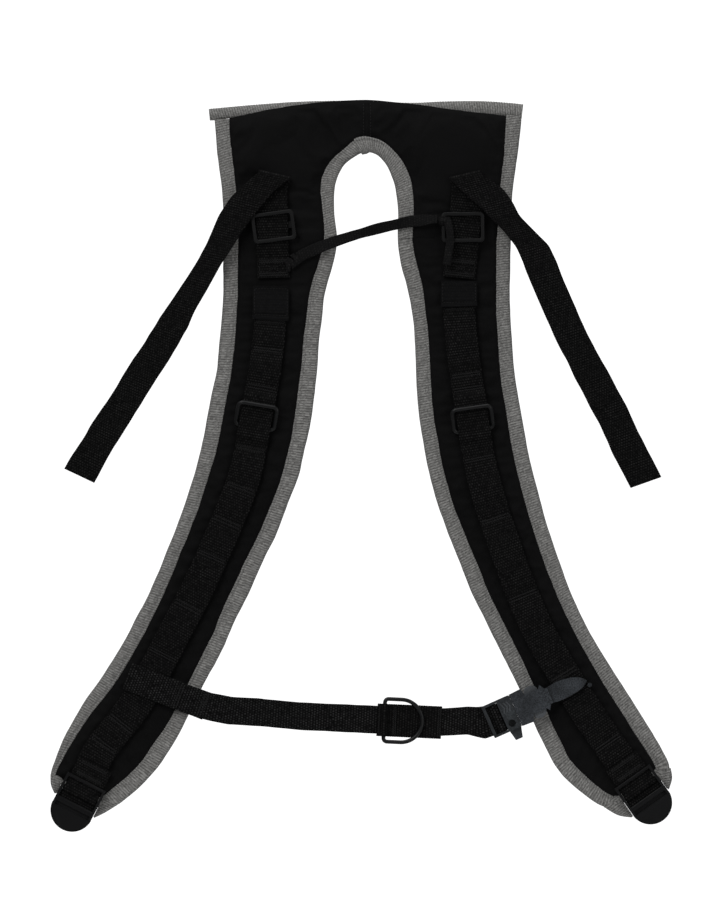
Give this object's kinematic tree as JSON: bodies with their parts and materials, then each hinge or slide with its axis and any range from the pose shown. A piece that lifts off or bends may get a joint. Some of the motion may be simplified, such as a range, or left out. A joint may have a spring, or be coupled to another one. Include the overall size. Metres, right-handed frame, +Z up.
{
  "type": "breathing apparatus shoulder harness",
  "caption": "Padded shoulder harness of a breathing apparatus: yoke, two curved pads, lifter straps, ladder locks, and a chest strap with a side-release whistle buckle.",
  "frame": {"origin": "on the wearer's side of the yoke, on its centre line, 17 mm below the yoke's top edge", "axes": "+Z up when worn, +X to the viewer's right from the front, the front faces -Y"},
  "size_m": [0.5593, 0.023, 0.659],
  "materials": {
    "black_fabric": "woven nylon",
    "black_mesh": "spacer mesh",
    "foam": "closed-cell foam",
    "grey_binding": "ribbed tape",
    "black_webbing": "ribbed webbing",
    "thread": "sewn thread",
    "black_plastic": "satin moulded",
    "grey_wire": "satin black coating"
  },
  "bodies": {
    "yoke": {"yoke_lining": "black_mesh", "yoke_foam": "foam", "yoke_cover": "black_fabric", "top_binding": "grey_binding", "left_yoke_binding": "grey_binding", "right_yoke_binding": "grey_binding", "neck_binding": "grey_binding", "left_anchor_webbing": "black_webbing", "right_anchor_webbing": "black_webbing", "yoke_bartacks": "thread", "neck_cord": "black_webbing"},
    "left_pad": {"left_lining": "black_mesh", "left_foam": "foam", "left_cover": "black_fabric", "left_binding": "grey_binding", "left_base_tape": "black_webbing", "left_ladder_webbing": "black_webbing", "left_ladder_pleats": "black_webbing", "left_bartacks": "thread", "left_tab": "black_webbing", "left_lock_loop": "black_webbing", "chest_webbing": "black_webbing"},
    "right_pad": {"right_lining": "black_mesh", "right_foam": "foam", "right_cover": "black_fabric", "right_binding": "grey_binding", "right_base_tape": "black_webbing", "right_ladder_webbing": "black_webbing", "right_ladder_pleats": "black_webbing", "right_bartacks": "thread", "right_tab": "black_webbing", "right_lock_loop": "black_webbing", "socket": "black_plastic", "socket_stud": "black_plastic"},
    "left_lifter": {"left_lifter_strap": "black_webbing"},
    "right_lifter": {"right_lifter_strap": "black_webbing"},
    "left_glide": {"left_triglide": "black_plastic"},
    "right_glide": {"right_triglide": "black_plastic", "neck_cord_knot": "black_webbing"},
    "left_ring": {"left_ring": "grey_wire"},
    "right_ring": {"right_ring": "grey_wire"},
    "left_lock": {"left_ladder_lock": "black_plastic", "left_lock_webbing": "black_webbing"},
    "right_lock": {"right_ladder_lock": "black_plastic", "right_lock_webbing": "black_webbing"},
    "keeper": {"chest_keeper": "black_webbing"},
    "chest_ring": {"chest_ring": "grey_wire"},
    "plug": {"plug": "black_plastic", "plug_chevrons": "black_plastic"},
    "upper_latch": {"upper_latch": "black_plastic"},
    "lower_latch": {"lower_latch": "black_plastic"}
  },
  "joints": [
    {"name": "left_pad_fold", "type": "hinge", "parent": "yoke", "child": "left_pad", "pos_m": [-0.09, 0, -0.1449], "axis": [1, 0, 0], "range_deg": [0, 110]},
    {"name": "right_pad_fold", "type": "hinge", "parent": "yoke", "child": "right_pad", "pos_m": [0.09, 0, -0.1449], "axis": [1, 0, 0], "range_deg": [0, 110]},
    {"name": "left_lifter_flap", "type": "hinge", "parent": "yoke", "child": "left_lifter", "pos_m": [-0.0818, -0.01765, -0.0511], "axis": [-0.9748, 0, 0.2233], "range_deg": [0, 165]},
    {"name": "right_lifter_flap", "type": "hinge", "parent": "yoke", "child": "right_lifter", "pos_m": [0.0902, -0.01765, -0.0515], "axis": [-0.9748, 0, -0.2233], "range_deg": [0, 165]},
    {"name": "left_glide_slide", "type": "slide", "parent": "yoke", "child": "left_glide", "axis": [-0.0069, 0, 1], "range_m": [-0.008, 0.012]},
    {"name": "right_glide_slide", "type": "slide", "parent": "yoke", "child": "right_glide", "axis": [0.073, 0, 0.9973], "range_m": [-0.008, 0.012], "deforming": ["neck_cord"]},
    {"name": "left_ring_lift", "type": "hinge", "parent": "left_pad", "child": "left_ring", "pos_m": [-0.0993, -0.0141, -0.2766], "axis": [0.9857, 0, -0.1685], "range_deg": [0, 95]},
    {"name": "right_ring_lift", "type": "hinge", "parent": "right_pad", "child": "right_ring", "pos_m": [0.0982, -0.0141, -0.2794], "axis": [0.9898, 0, 0.1426], "range_deg": [0, 95]},
    {"name": "left_lock_tilt", "type": "hinge", "parent": "left_pad", "child": "left_lock", "pos_m": [-0.256, -0.0135, -0.6068], "axis": [0.8882, 0, -0.4594], "range_deg": [-5, 45]},
    {"name": "right_lock_tilt", "type": "hinge", "parent": "right_pad", "child": "right_lock", "pos_m": [0.2475, -0.0135, -0.6013], "axis": [0.8146, 0, 0.58], "range_deg": [-5, 45]},
    {"name": "keeper_slide", "type": "slide", "parent": "left_pad", "child": "keeper", "axis": [0.999, 0, -0.0457], "range_m": [-0.06, 0.004]},
    {"name": "chest_ring_flip", "type": "hinge", "parent": "keeper", "child": "chest_ring", "pos_m": [0.01727, -0.01995, -0.53966], "axis": [-0.0457, 0, -0.999], "range_deg": [0, 170]},
    {"name": "buckle_release", "type": "slide", "parent": "left_pad", "child": "plug", "axis": [-0.9135, 0, -0.4067], "range_m": [0, 0.028], "deforming": ["chest_webbing", "upper_latch", "lower_latch"]},
    {"name": "upper_latch_squeeze", "type": "hinge", "parent": "plug", "child": "upper_latch", "pos_m": [0.12983, -0.0165, -0.52288], "axis": [0, 1, 0], "range_deg": [0, 8]},
    {"name": "lower_latch_squeeze", "type": "hinge", "parent": "plug", "child": "lower_latch", "pos_m": [0.13764, -0.0165, -0.54042], "axis": [0, -1, 0], "range_deg": [0, 8]}
  ],
  "couplings": [
    {"joint": "right_pad_fold", "follows": "left_pad_fold", "ratio": 1},
    {"joint": "lower_latch_squeeze", "follows": "upper_latch_squeeze", "ratio": 1}
  ]
}
